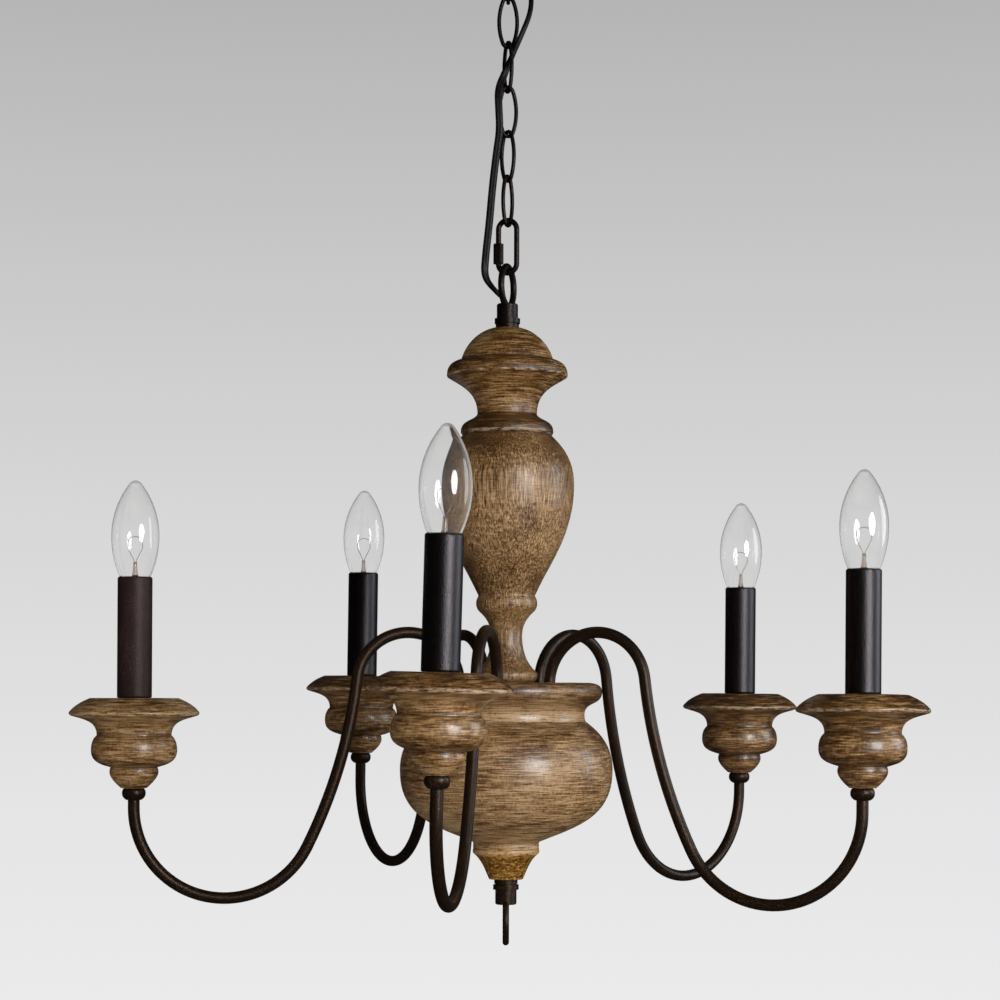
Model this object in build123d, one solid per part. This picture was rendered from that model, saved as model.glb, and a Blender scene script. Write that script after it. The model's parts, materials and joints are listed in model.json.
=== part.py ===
from build123d import *
from math import atan2, cos, degrees, hypot, radians, sin, tan
import os

# Turned wooden chandelier with five bent arms, hung from the ceiling by a chain.
# Millimetres, +Z up. The origin is on the ceiling, in the middle of the crossbar, and the
# column hangs straight below it. The side that faces the room is -Y.

# Fits
seat_clearance = 0.3  # a turned piece round the rod or round an arm
thread_clearance = 0.05  # a threaded piece on its thread
hang_clearance = 0.3  # a hung wire above the wire that carries it
slide_clearance = 0.3  # the quick link's nut round its leg

# Ceiling fitting
canopy_d = 127.0
canopy_depth = 20.2
canopy_wall = 1.5
canopy_band = 4.0  # upright band against the ceiling
canopy_ledge = 4.0  # step between the band and the dome
canopy_seat_d = 30.0  # flat under the collar
crossbar_length = 104.0
crossbar_width = 22.0
crossbar_thick = 2.0
bolt_spacing = 79.4
bolt_slot_length = 16.0
bolt_slot_width = 4.8

# Threaded tube through the canopy and through the column
rod_d = 10.0
rod_bore_d = 6.2
rod_window_d = 6.0  # wires leave the rod here

# Cast loop and the collar beside it
loop_wire_d = 4.8
loop_ring_r = 15.0  # centre line
loop_rise = 13.0  # from the base to the ring's centre
loop_base_d = 15.8
loop_base_height = 11.1
loop_base_chamfer = 0.8
loop_thread_depth = 7.0
wireway_d = 6.4
collar_d = 19.0
collar_low_d = 17.4
collar_height = 7.7
collar_low_height = 3.2
collar_groove = 0.9

# Chain
wire_d = 3.0
link_length = 39.8
link_width = 16.6
link_end_r = 4.3  # centre line of the tight ends
link_turns = (90.0, 8.0, -66.0, 24.0, -48.0, 60.0)  # about the column, top link first
canopy_loop_turn = 0.0
quick_turn = -14.0
top_loop_turn = 72.0
bottom_loop_turn = 90.0

# Quick link
quick_wire_d = 4.0
quick_length = 43.4
quick_width = 18.0
quick_nut_length = 15.0
quick_nut_across = 6.8
quick_gap = 7.0  # opening that the nut closes
quick_grip = 2.7  # thread that the nut holds below the opening

# Column cap, top to bottom
cap_seat_r = 12.6
dome_r = 34.6
dome_height = 24.0
dome_bulge = 4.2
rim_ledge = 2.0
rim_r = 45.0
rim_height = 12.0
rim_edge = 1.8  # upright part of the rim
cap_cove_height = 28.0
cap_neck_r = 22.2
cap_ring_r = 34.5
cap_ring_height = 12.6
cap_foot_r = 33.0
cap_foot_height = 3.0

# Urn, top to bottom
urn_top_r = 33.0
shoulder_height = 36.5
belly_r = 50.1
urn_taper_height = 83.3
urn_neck_r = 21.0
bead_r = 22.8
bead_height = 11.0
waist_r = 11.7
waist_drop = 18.8  # from the bead to the waist
flare_height = 27.4
foot_r = 23.0
foot_height = 7.3
foot_lip_r = 19.5

# Bowl lid
lid_rim_r = 71.3
lid_nose_drop = 7.0  # widest point below the flat top
lid_flat_r = 62.0
lid_under_r = 64.5
lid_rim_height = 15.5
lid_neck_r = 58.2
lid_neck_height = 13.2
lid_joint_r = 59.0
lid_foot_height = 4.7  # from the neck's narrowest point to the joint
lid_top_thick = 13.0

# Bowl
bowl_belly_r = 79.1
bowl_shoulder_height = 36.6
bowl_base_height = 53.0
bowl_ring_r = 24.5
bowl_ring_height = 5.2
bowl_floor = 30.0  # solid wood below the cavity
cavity_corner_r = 14.0

# Finial
finial_top_r = 24.5
finial_bead_height = 3.6
finial_taper_height = 18.8
finial_tip_r = 12.6

# Arms
arm_count = 5
first_arm_angle = -98.7  # from +X, about +Z
arm_d = 8.5
arm_bore_d = 6.0
arm_root_r = 35.5
arch_r = 38.3
arch_spring = -1.5  # arch centre above the lid
arm_reach = 273.7
bow_r = 66.2
bow_drop = 154.0  # lowest point of the centre line below the lid
sweep_r = 372.0  # gentle curve between arch and bow
arm_tail = 2.0  # below the lower nut
plate_edge = 8.5  # plate outside the middle of an arm
plate_thick = 3.0
cavity_gap = 1.0  # between the plate and the wood

# The arms are bent by hand, so each differs a little
arm_offsets = (-2.1, 0.1, 0.6, 0.2, 1.6)  # from even spacing, in degrees
arm_twists = (-3.4, -2.9, 1.2, 1.5, 0.0)  # of the bow and its light, in degrees
bow_lifts = (6.6, -2.7, -0.7, 8.0, -3.2)
light_lifts = (8.7, -5.0, -5.0, 9.0, -9.0)

# Nuts
arm_nut_across = 12.0
rod_nut_across = 15.0
nut_height = 4.0

# Bead and cup
seat_bead_r = 8.5
seat_bead_height = 8.5
seat_bead_nose_drop = 3.6  # widest point below its top
seat_bead_nose_half = 1.8
seat_bead_bulge = 0.5
seat_bead_top_r = 6.8
seat_bead_neck_r = 5.6
cup_drop = 3.0  # middle cup's top below the lid
cup_flat_r = 31.5
cup_rim_r = 46.8
cup_rim_height = 10.4
cup_lip_height = 2.2
cup_lip_undercut = 1.2
cup_cove_height = 14.4
cup_waist_r = 26.8
cup_bulge_r = 30.8
cup_bulge_height = 23.0
cup_bulge_drop = 10.6  # widest point below the waist
cup_step_r = 16.8
cup_step_height = 6.3  # band below the bulge
cup_tail_height = 15.0
cup_foot_r = 9.2

# Candle sleeve, socket and bulb
sleeve_d = 25.0
sleeve_wall = 1.0
sleeve_height = 87.5
socket_d = 20.0
socket_foot_d = 15.0
socket_foot_height = 9.0
socket_clearance = 0.4
bulb_r = 17.2
bulb_show = 70.0  # glass above the sleeve
bulb_widest = 40.5  # below the tip
bulb_shoulder_r = 4.5  # where the round tip meets the long curve
bulb_shoulder_drop = 2.6
bulb_neck_r = 8.6
bulb_neck_drop = 5.0  # glass inside the sleeve
glass_wall = 0.8
base_d = 13.8
base_length = 20.0
base_tip_d = 7.0
base_tip_length = 4.0
stem_r = 3.6
stem_tip_r = 1.5
stem_height = 16.0
filament_wire_d = 0.8
filament_bead_r = 0.56  # where it is clamped to its support
filament_height = 32.0
filament_half = 5.0

# Lead
cord_d = 4.6
cord_arc_share = 0.45  # of the shorter run beside a bend
arm_wire_d = 3.0
wire_tail = 8.0
connector_d = 7.0
connector_length = 14.0


def at(r, z):
    """A point of a profile that is turned about the column."""
    return Vector(r, 0, z)


def bulged(a, b, rise):
    """An arc of a profile, read downwards, that stands out from its chord by rise."""
    along = b - a
    outward = at(-along.Z, along.X) / along.length
    return ThreePointArc(a, (a + b) / 2 + outward * rise, b)


def turned(*edges):
    """A solid of revolution from the edges of its closed half section."""
    return revolve(make_face(edges), Axis.Z)


def rod_through(r, top, bottom):
    """A plain round bar about Z between two heights."""
    return Pos(0, 0, (top + bottom) / 2) * Cylinder(r, top - bottom)


def tube(path, d, bore_d=0.0):
    """A round bar or tube along a path."""
    section = Circle(d / 2)
    if bore_d:
        section -= Circle(bore_d / 2)
    start = Plane(path @ 0, z_dir=path % 0)
    return sweep(start * section, path=path)


def hex_nut(bore, across, height, top):
    """A hexagon nut about Z with its upper face at top."""
    blank = extrude(RegularPolygon(across / 2, 6, major_radius=False), height)
    nut = Pos(0, 0, top - height) * blank
    return nut - rod_through(bore / 2, top, top - height)


# Heights, from the ceiling down
canopy_bottom = -canopy_depth
canopy_base_z = canopy_bottom - collar_height - loop_base_height
canopy_ring_z = canopy_base_z - loop_rise

link_half = (link_length - wire_d) / 2
first_hang_z = canopy_ring_z - loop_ring_r
first_link_z = first_hang_z + (loop_wire_d + wire_d) / 2 + hang_clearance - link_half
link_pitch = 2 * link_half - wire_d - hang_clearance
last_link_z = first_link_z - (len(link_turns) - 1) * link_pitch

quick_half = (quick_length - quick_wire_d) / 2
quick_hang_z = last_link_z - link_half
quick_z = quick_hang_z + (wire_d + quick_wire_d) / 2 + hang_clearance - quick_half
top_hang_z = quick_z - quick_half
top_ring_z = top_hang_z + (quick_wire_d + loop_wire_d) / 2 + hang_clearance - loop_ring_r
top_base_z = top_ring_z - loop_rise
cap_z = top_base_z - loop_base_height - collar_height

cap_rim_z = cap_z - dome_height
cap_cove_z = cap_rim_z - rim_height
cap_neck_z = cap_cove_z - cap_cove_height
cap_foot_z = cap_neck_z - cap_ring_height
urn_z = cap_foot_z - cap_foot_height

belly_z = urn_z - shoulder_height
urn_neck_z = belly_z - urn_taper_height
bead_low_z = urn_neck_z - bead_height
waist_z = bead_low_z - waist_drop
foot_z = waist_z - flare_height
lid_z = foot_z - foot_height

lid_neck_z = lid_z - lid_rim_height
bowl_z = lid_neck_z - lid_neck_height
bowl_belly_z = bowl_z - bowl_shoulder_height
bowl_ring_z = bowl_belly_z - bowl_base_height
finial_z = bowl_ring_z - bowl_ring_height
finial_foot_z = finial_z - finial_bead_height - finial_taper_height
bottom_base_z = finial_foot_z - collar_height - loop_base_height
bottom_ring_z = bottom_base_z - loop_rise

plate_z = lid_z - lid_top_thick - nut_height
arm_end_z = plate_z - plate_thick - nut_height - arm_tail
cup_height = cup_rim_height + cup_lip_height + cup_cove_height + cup_bulge_height + cup_tail_height
rod_bore = rod_d / 2 + seat_clearance
plate_r = arm_root_r + plate_edge
cavity_r = plate_r + cavity_gap

print("lid top", round(lid_z, 2), "bottom", round(bottom_ring_z - loop_ring_r - loop_wire_d / 2, 2))


def loop_fitting(base_z, up, turn):
    """Cast ring on a threaded base. The ring stands on the face at base_z, above it or below."""
    side = 1 if up else -1
    ring = Pos(0, 0, loop_rise) * Rot(90, 0, 0) * Torus(loop_ring_r, loop_wire_d / 2)
    base = rod_through(loop_base_d / 2, 0, -loop_base_height)
    base = chamfer(base.edges().group_by(Axis.Z)[-1], loop_base_chamfer)
    fitting = base + ring
    fitting -= rod_through(wireway_d / 2, loop_rise - loop_ring_r + loop_wire_d, -loop_base_height)
    thread_r = rod_d / 2 + thread_clearance
    fitting -= rod_through(thread_r, loop_thread_depth - loop_base_height, -loop_base_height)
    flip = Rot(0 if side > 0 else 180, 0, 0)
    return Pos(0, 0, base_z) * Rot(0, 0, turn) * flip * fitting


def collar(face_z, up):
    """Grooved collar: its wide ring faces the loop, its narrow ring sits on face_z."""
    wide = collar_d / 2
    narrow = collar_low_d / 2
    bore = rod_d / 2 + thread_clearance
    low = collar_low_height
    outline = Polyline(
        at(bore, 0),
        at(narrow, 0),
        at(narrow, low),
        at(narrow - collar_groove, low),
        at(narrow - collar_groove, low + collar_groove),
        at(wide, low + collar_groove),
        at(wide, collar_height),
        at(bore, collar_height),
        close=True,
    )
    ring = turned(*outline.edges())
    return Pos(0, 0, face_z) * Rot(0 if up else 180, 0, 0) * ring


def canopy():
    """Spun dish with a band, a ledge and a dome, open against the ceiling."""

    def dish(inset):
        rim = canopy_d / 2 - inset
        low = canopy_bottom + inset
        band_z = inset - canopy_band
        dome_start = at(rim - canopy_ledge, band_z)
        seat = at(canopy_seat_d / 2, low)
        return turned(
            Line(at(0, 0), at(rim, 0)),
            Line(at(rim, 0), at(rim, band_z)),
            Line(at(rim, band_z), dome_start),
            Spline(dome_start, seat, tangents=[at(0.2, -1), at(-1, -0.12)]),
            Line(seat, at(0, low)),
            Line(at(0, low), at(0, 0)),
        )

    shell = dish(0) - dish(canopy_wall)
    return shell - rod_through(rod_bore, 0, canopy_bottom)


def crossbar():
    """Steel strap with two slots for the ceiling box and a threaded hole for the nipple."""
    bar = Pos(0, 0, -crossbar_thick / 2) * Box(crossbar_length, crossbar_width, crossbar_thick)
    bar = fillet(bar.edges().filter_by(Axis.Z), crossbar_width / 4)
    slot = extrude(SlotOverall(bolt_slot_length, bolt_slot_width), -crossbar_thick)
    for side in (-1, 1):
        bar -= Pos(side * bolt_spacing / 2, 0, 0) * slot
    return bar - rod_through(rod_d / 2 + thread_clearance, 0, -crossbar_thick)


def threaded_tube(top, bottom):
    """Hollow lamp rod between two heights."""
    return rod_through(rod_d / 2, top, bottom) - rod_through(rod_bore_d / 2, top, bottom)


def chain_link(z, turn):
    """Oval link of four tangent arcs: two tight ends and two long sides."""
    half_width = (link_width - wire_d) / 2
    end_z = link_half - link_end_r
    side_r = (half_width**2 + end_z**2 - link_end_r**2) / (2 * (half_width - link_end_r))
    lean = atan2(end_z, side_r - half_width)
    knee = at(link_end_r * cos(lean), end_z + link_end_r * sin(lean))
    low_knee = at(knee.X, -knee.Z)
    across = at(-knee.X, knee.Z)
    low_across = at(-knee.X, -knee.Z)
    oval = Wire(
        [
            ThreePointArc(low_knee, at(half_width, 0), knee),
            ThreePointArc(knee, at(0, link_half), across),
            ThreePointArc(across, at(-half_width, 0), low_across),
            ThreePointArc(low_across, at(0, -link_half), low_knee),
        ]
    )
    return Pos(0, 0, z) * Rot(0, 0, turn) * tube(oval, wire_d)


quick_leg_x = (quick_width - quick_wire_d) / 2
quick_leg_half = quick_half - quick_leg_x
quick_nut_low = -quick_leg_half
quick_gap_low = quick_nut_low + quick_grip


def quick_link():
    """Long oval wire, open on its left leg where the nut joins the two threaded ends."""
    x = quick_leg_x
    half = quick_leg_half
    wire = Wire(
        [
            Line(at(-x, quick_gap_low), at(-x, -half)),
            ThreePointArc(at(-x, -half), at(0, -quick_half), at(x, -half)),
            Line(at(x, -half), at(x, half)),
            ThreePointArc(at(x, half), at(0, quick_half), at(-x, half)),
            Line(at(-x, half), at(-x, quick_gap_low + quick_gap)),
        ]
    )
    return Pos(0, 0, quick_z) * Rot(0, 0, quick_turn) * tube(wire, quick_wire_d)


def quick_nut():
    """Long hexagon nut on the left leg, screwed down over the opening."""
    top = quick_nut_low + quick_nut_length
    nut = hex_nut(quick_wire_d + 2 * slide_clearance, quick_nut_across, quick_nut_length, top)
    nut = Pos(-quick_leg_x, 0, 0) * nut
    return Pos(0, 0, quick_z) * Rot(0, 0, quick_turn) * nut


def column_cap():
    """Dome, rolled rim, cove, neck and ring, turned from one block."""
    seat = at(cap_seat_r, cap_z)
    dome_foot = at(dome_r, cap_rim_z)
    rim_top = at(dome_r + rim_ledge, cap_rim_z)
    rim_high = at(rim_r, cap_cove_z + rim_edge)
    rim_low = at(rim_r - rim_edge / 4, cap_cove_z)
    neck = at(cap_neck_r, cap_neck_z)
    ring = at(cap_ring_r, cap_foot_z)
    foot = at(cap_foot_r, urn_z)
    block = turned(
        Line(at(0, cap_z), seat),
        bulged(seat, dome_foot, dome_bulge),
        Line(dome_foot, rim_top),
        Spline(rim_top, rim_high, tangents=[at(1, -0.3), at(0, -1)]),
        bulged(rim_high, rim_low, rim_edge / 5),
        Spline(rim_low, neck, tangents=[at(-1, -0.62), at(0, -1)]),
        Spline(neck, ring, tangents=[at(0.55, -1), at(0, -1)]),
        bulged(ring, foot, cap_foot_height / 5),
        Line(foot, at(0, urn_z)),
        Line(at(0, urn_z), at(0, cap_z)),
    )
    return block - rod_through(rod_bore, cap_z, urn_z)


def urn():
    """Vase body, neck with a bead, waist and flared foot, turned from one block."""
    top = at(urn_top_r, urn_z)
    belly = at(belly_r, belly_z)
    neck = at(urn_neck_r, urn_neck_z)
    bead = at(bead_r, (urn_neck_z + bead_low_z) / 2)
    bead_low = at(urn_neck_r, bead_low_z)
    waist = at(waist_r, waist_z)
    foot = at(foot_r, foot_z)
    lip = at(foot_lip_r, lid_z)
    block = turned(
        Line(at(0, urn_z), top),
        Spline(top, belly, tangents=[at(0.72, -0.7), at(0, -1)]),
        Spline(belly, neck, tangents=[at(0, -1.2), at(-0.45, -1)]),
        ThreePointArc(neck, bead, bead_low),
        Spline(bead_low, waist, tangents=[at(-1, -0.9), at(0, -1)]),
        Spline(waist, foot, tangents=[at(0, -1), at(0.9, -0.75)]),
        bulged(foot, lip, foot_height / 4),
        Line(lip, at(0, lid_z)),
        Line(at(0, lid_z), at(0, urn_z)),
    )
    return block - rod_through(rod_bore, urn_z, lid_z)


def arm_angles():
    """Turn of each arm about the column."""
    return [first_arm_angle + 360 / arm_count * i + off for i, off in enumerate(arm_offsets)]


def bowl_lid():
    """Turned disc with a round rim and a neck, hollow below, with a hole for each arm."""
    flat = at(lid_flat_r, lid_z)
    nose = at(lid_rim_r, lid_z - lid_nose_drop)
    under = at(lid_under_r, lid_neck_z)
    neck = at(lid_neck_r, bowl_z + lid_foot_height)
    joint = at(lid_joint_r, bowl_z)
    block = turned(
        Line(at(0, lid_z), flat),
        Spline(flat, nose, tangents=[at(1, -0.12), at(0, -1)]),
        Spline(nose, under, neck, tangents=[at(0, -1), at(0, -1)]),
        TangentArc(neck, joint, tangent=at(0, -1)),
        Line(joint, at(0, bowl_z)),
        Line(at(0, bowl_z), at(0, lid_z)),
    )
    block -= rod_through(cavity_r, lid_z - lid_top_thick, bowl_z)
    block -= rod_through(rod_bore, lid_z, bowl_z)
    hole = Pos(arm_root_r, 0, 0) * rod_through(arm_d / 2 + seat_clearance, lid_z, bowl_z)
    for angle in arm_angles():
        block -= Rot(0, 0, angle) * hole
    return block


def bowl():
    """Turned belly with a wiring cavity under the lid."""
    joint = at(lid_joint_r, bowl_z)
    belly = at(bowl_belly_r, bowl_belly_z)
    ring = at(bowl_ring_r, bowl_ring_z)
    ring_low = at(bowl_ring_r, finial_z)
    block = turned(
        Line(at(0, bowl_z), joint),
        Spline(joint, belly, tangents=[at(1, -0.75), at(0, -1)]),
        Spline(belly, ring, tangents=[at(0, -1.1), at(-1, -0.42)]),
        Line(ring, ring_low),
        Line(ring_low, at(0, finial_z)),
        Line(at(0, finial_z), at(0, bowl_z)),
    )
    hollow = rod_through(cavity_r, bowl_z, finial_z + bowl_floor)
    hollow = fillet(hollow.edges().group_by(Axis.Z)[0], cavity_corner_r)
    return block - hollow - rod_through(rod_bore, bowl_z, finial_z)


def finial():
    """Bead and ogee taper under the bowl."""
    top = at(finial_top_r, finial_z)
    bead = at(finial_top_r - finial_bead_height / 6, finial_z - finial_bead_height)
    tip = at(finial_tip_r, finial_foot_z)
    block = turned(
        Line(at(0, finial_z), top),
        bulged(top, bead, finial_bead_height / 6),
        Spline(bead, tip, tangents=[at(-1, -0.75), at(-0.45, -1)]),
        Line(tip, at(0, finial_foot_z)),
        Line(at(0, finial_foot_z), at(0, finial_z)),
    )
    return block - rod_through(rod_bore, finial_z, finial_foot_z)


def arm_knots(i):
    """Centres of arm i's arch and bow, and the start, middle and end of the sweep between them."""
    arch = at(arm_root_r + arch_r, lid_z + arch_spring)
    bow = at(arm_reach - bow_r, lid_z - bow_drop + bow_r + bow_lifts[i])
    # The sweep's circle touches the arch from outside and holds the bow inside.
    to_arch = arch_r + sweep_r
    to_bow = sweep_r - bow_r
    span = hypot(bow.X - arch.X, bow.Z - arch.Z)
    along = (to_arch**2 - to_bow**2 + span**2) / (2 * span)
    off = (to_arch**2 - along**2) ** 0.5
    ahead = (bow - arch) / span
    aside = at(-ahead.Z, ahead.X)
    centre = arch + ahead * along + aside * off
    leave = arch + (centre - arch) / to_arch * arch_r
    join = bow + (bow - centre) / to_bow * bow_r
    middle = (leave + join) / 2 - centre
    on_sweep = centre + middle / middle.length * sweep_r
    return arch, bow, leave, on_sweep, join


def bow_twist(i):
    """Turn of arm i's bow about the tangent where its sweep ends."""
    arch, bow, leave, on_sweep, join = arm_knots(i)
    inward = join - bow
    dip = degrees(atan2(-inward.X, -inward.Z))
    about = Rot(0, dip, 0) * Rot(arm_twists[i], 0, 0) * Rot(0, -dip, 0)
    return Pos(join) * about * Pos(-join)


def arm_path(i):
    """Centre line of arm i before its turn: shank, arch, gentle sweep, bow and upright end."""
    arch, bow, leave, on_sweep, join = arm_knots(i)
    start = at(arm_root_r, arch.Z)
    end = at(arm_reach, bow.Z)
    post_top = at(arm_reach, cup_top(i) + nut_height + socket_foot_height)
    twist = bow_twist(i)
    return Wire(
        [
            Line(at(arm_root_r, arm_end_z), start),
            ThreePointArc(start, arch + at(0, arch_r), leave),
            ThreePointArc(leave, on_sweep, join),
            twist * ThreePointArc(join, bow + at(0, -bow_r), end),
            twist * Line(end, post_top),
        ]
    )


def light_place(i):
    """Place of light i: the middle of its cup's flat top."""
    return Rot(0, 0, arm_angles()[i]) * bow_twist(i) * Pos(arm_reach, 0, cup_top(i))


def cup_top(i):
    """Height of the flat on which candle sleeve i stands, before the arm's twist."""
    return lid_z - cup_drop + light_lifts[i]


def arm_plate():
    """Steel disc in the cavity that carries the arms."""
    plate = rod_through(plate_r, plate_z, plate_z - plate_thick)
    plate -= rod_through(rod_d / 2 + thread_clearance, plate_z, plate_z - plate_thick)
    hole_r = arm_d / 2 + thread_clearance
    hole = Pos(arm_root_r, 0, 0) * rod_through(hole_r, plate_z, plate_z - plate_thick)
    for angle in arm_angles():
        plate -= Rot(0, 0, angle) * hole
    return plate


def lamp_nuts():
    """Nuts above and below the plate on each arm, under each socket, and one on the rod."""
    arm_bore = arm_d + 2 * thread_clearance
    nuts = [hex_nut(rod_d + 2 * thread_clearance, rod_nut_across, nut_height, plate_z - plate_thick)]
    upper = hex_nut(arm_bore, arm_nut_across, nut_height, plate_z + nut_height)
    lower = hex_nut(arm_bore, arm_nut_across, nut_height, plate_z - plate_thick)
    cup_nut = hex_nut(arm_bore, arm_nut_across, nut_height, nut_height)
    for i, angle in enumerate(arm_angles()):
        root = Rot(0, 0, angle) * Pos(arm_root_r, 0, 0)
        nuts.append(root * upper)
        nuts.append(root * lower)
        nuts.append(light_place(i) * cup_nut)
    return nuts


def seat_bead():
    """Metal bead under a cup, its top at z = 0."""
    bore = arm_d / 2 + thread_clearance
    shoulder = at(seat_bead_top_r, 0)
    high = at(seat_bead_r - seat_bead_bulge, seat_bead_nose_half - seat_bead_nose_drop)
    low = at(seat_bead_r - seat_bead_bulge, -seat_bead_nose_half - seat_bead_nose_drop)
    neck = at(seat_bead_neck_r, -seat_bead_height)
    return turned(
        Line(at(bore, 0), shoulder),
        Line(shoulder, high),
        bulged(high, low, seat_bead_bulge),
        Line(low, neck),
        Line(neck, at(bore, -seat_bead_height)),
        Line(at(bore, -seat_bead_height), at(bore, 0)),
    )


def cup():
    """Turned cup with its flat top at z = 0: rim, cove, bulge and tail."""
    rim_z = -cup_rim_height
    cove_z = rim_z - cup_lip_height
    waist_z = cove_z - cup_cove_height
    step_z = waist_z - cup_bulge_height
    foot_z = step_z - cup_tail_height
    flat = at(cup_flat_r, 0)
    rim = at(cup_rim_r, rim_z)
    lip = at(cup_rim_r - cup_lip_undercut, cove_z)
    waist = at(cup_waist_r, waist_z)
    bulge = at(cup_bulge_r, waist_z - cup_bulge_drop)
    step = at(cup_step_r, step_z)
    tail = at(cup_step_r, step_z - cup_step_height)
    foot = at(cup_foot_r, foot_z)
    block = turned(
        Line(at(0, 0), flat),
        Spline(flat, rim, tangents=[at(1, -0.4), at(0.75, -1)]),
        bulged(rim, lip, cup_lip_height / 6),
        Spline(lip, waist, tangents=[at(-1, -0.35), at(0, -1)]),
        Spline(waist, bulge, tangents=[at(0.9, -0.7), at(0, -1)]),
        Spline(bulge, step, tangents=[at(0, -1), at(-1, -0.3)]),
        bulged(step, tail, cup_tail_height / 20),
        Spline(tail, foot, tangents=[at(-0.5, -1), at(-0.9, -0.8)]),
        Line(foot, at(0, foot_z)),
        Line(at(0, foot_z), at(0, 0)),
    )
    return block - rod_through(arm_d / 2 + seat_clearance, 0, foot_z)


def candle_sleeve():
    """Thin tube that stands on the cup, its foot at z = 0."""
    outer = rod_through(sleeve_d / 2, sleeve_height, 0)
    return outer - rod_through(sleeve_d / 2 - sleeve_wall, sleeve_height, 0)


bulb_tip = sleeve_height + bulb_show
glass_foot = sleeve_height - bulb_neck_drop
base_top = glass_foot
base_foot = base_top - base_length - base_tip_length


def lamp_socket():
    """Candle socket on the end of the arm, with its well open to the bulb. Cup top is z = 0."""
    foot = nut_height
    well = base_foot - socket_clearance
    top = base_top - socket_clearance
    body = rod_through(socket_d / 2, top, foot + socket_foot_height)
    body += rod_through(socket_foot_d / 2, foot + socket_foot_height, foot)
    body -= rod_through(base_d / 2 + socket_clearance, top, well)
    return body - rod_through(arm_d / 2 + thread_clearance, foot + socket_foot_height, foot)


def glass_body(inset):
    """The candle bulb's form, drawn in from its outside by inset. Cup top is z = 0."""
    tip = at(0, bulb_tip - inset)
    shoulder = at(bulb_shoulder_r - inset / 2, bulb_tip - bulb_shoulder_drop - inset)
    widest = at(bulb_r - inset, bulb_tip - bulb_widest)
    neck = at(bulb_neck_r - inset, glass_foot + inset)
    return turned(
        TangentArc(tip, shoulder, tangent=at(1, 0)),
        TangentArc(widest, shoulder, tangent=at(0, 1)),
        TangentArc(widest, neck, tangent=at(0, -1)),
        Line(neck, at(0, glass_foot + inset)),
        Line(at(0, glass_foot + inset), tip),
    )


def bulb_glass():
    """Thin shell of glass, open below where the stem stands on the base."""
    shell = glass_body(0) - glass_body(glass_wall)
    return shell - rod_through(base_d / 2 - glass_wall, bulb_tip - bulb_widest, glass_foot)


def bulb_base():
    """Screw shell, insulator and contact below the glass."""
    shell_z = base_top - base_length
    return turned(
        Line(at(0, base_top), at(base_d / 2, base_top)),
        Line(at(base_d / 2, base_top), at(base_d / 2, shell_z)),
        Line(at(base_d / 2, shell_z), at(base_tip_d / 2, base_foot)),
        Line(at(base_tip_d / 2, base_foot), at(0, base_foot)),
        Line(at(0, base_foot), at(0, base_top)),
    )


def bulb_filament():
    """Glass stem on the base with two support wires, spread along X, and the filament between them."""
    stem_top = base_top + stem_height
    stem = turned(
        Line(at(0, base_top), at(stem_r, base_top)),
        Spline(at(stem_r, base_top), at(stem_tip_r, stem_top), tangents=[at(-0.3, 1), at(0, 1)]),
        Line(at(stem_tip_r, stem_top), at(0, stem_top)),
        Line(at(0, stem_top), at(0, base_top)),
    )
    foot = at(stem_tip_r / 3, stem_top - stem_tip_r)
    knee = at(filament_half, base_top + filament_height)
    crown = at(0, knee.Z + filament_half / 2)
    bow = ThreePointArc(knee, crown, at(-knee.X, knee.Z))
    mount = stem
    for side in (-1, 1):
        support = Line(at(side * foot.X, foot.Z), at(side * knee.X, knee.Z))
        mount += tube(support, filament_wire_d)
        mount += Pos(side * knee.X, 0, knee.Z) * Sphere(filament_bead_r)
    return mount + tube(bow, filament_wire_d)


def down_chain(pitches):
    """Height on the chain, counted in pitches from the middle of the first link."""
    return first_link_z - pitches * link_pitch


# Route of the lead, from the canopy loop through the third link to the top loop
cord_route = [
    (0.0, 0.0, canopy_base_z + 9.0),
    (0.0, 0.0, canopy_base_z - 3.0),
    (3.0, 10.0, canopy_base_z - 12.0),
    (10.0, 14.0, canopy_base_z - 27.0),
    (17.5, 9.0, down_chain(0.24)),
    (17.0, 0.0, down_chain(0.76)),
    (10.5, -5.0, down_chain(1.28)),
    (3.6, -0.6, down_chain(1.71)),
    (-2.6, 1.0, down_chain(2.14)),
    (-7.0, -5.5, down_chain(2.54)),
    (-6.8, -8.0, down_chain(2.97)),
    (-5.6, -6.0, down_chain(3.46)),
    (-8.6, -4.0, down_chain(3.98)),
    (-11.5, -3.5, down_chain(4.74)),
    (-13.6, -2.5, down_chain(5.50)),
    (-16.6, -1.5, top_base_z + 34.0),
    (-17.3, -1.0, top_base_z + 20.0),
    (-10.0, -0.5, top_base_z + 10.5),
    (0.0, 0.0, top_base_z + 2.0),
    (0.0, 0.0, top_base_z - 8.0),
]


def cord_radii(points):
    """Largest arc at each corner that leaves a little of both runs straight."""
    radii = []
    for before, corner, after in zip(points, points[1:], points[2:]):
        inward = Vector(corner) - Vector(before)
        onward = Vector(after) - Vector(corner)
        turn = radians(inward.get_angle(onward))
        radii.append(cord_arc_share * min(inward.length, onward.length) / tan(turn / 2))
    return radii


def supply_cord():
    """Lead from the ceiling fitting to the top loop, laced through the chain."""
    radii = cord_radii(cord_route)
    print("cord radii", [round(r, 1) for r in radii])
    path = FilletPolyline(*cord_route, radius=radii)
    cord = tube(path, cord_d)
    section = Circle(cord_d / 2).area
    print("cord length", round(path.length, 1), "volume ratio", round(cord.volume / section / path.length, 4))
    return cord


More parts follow.
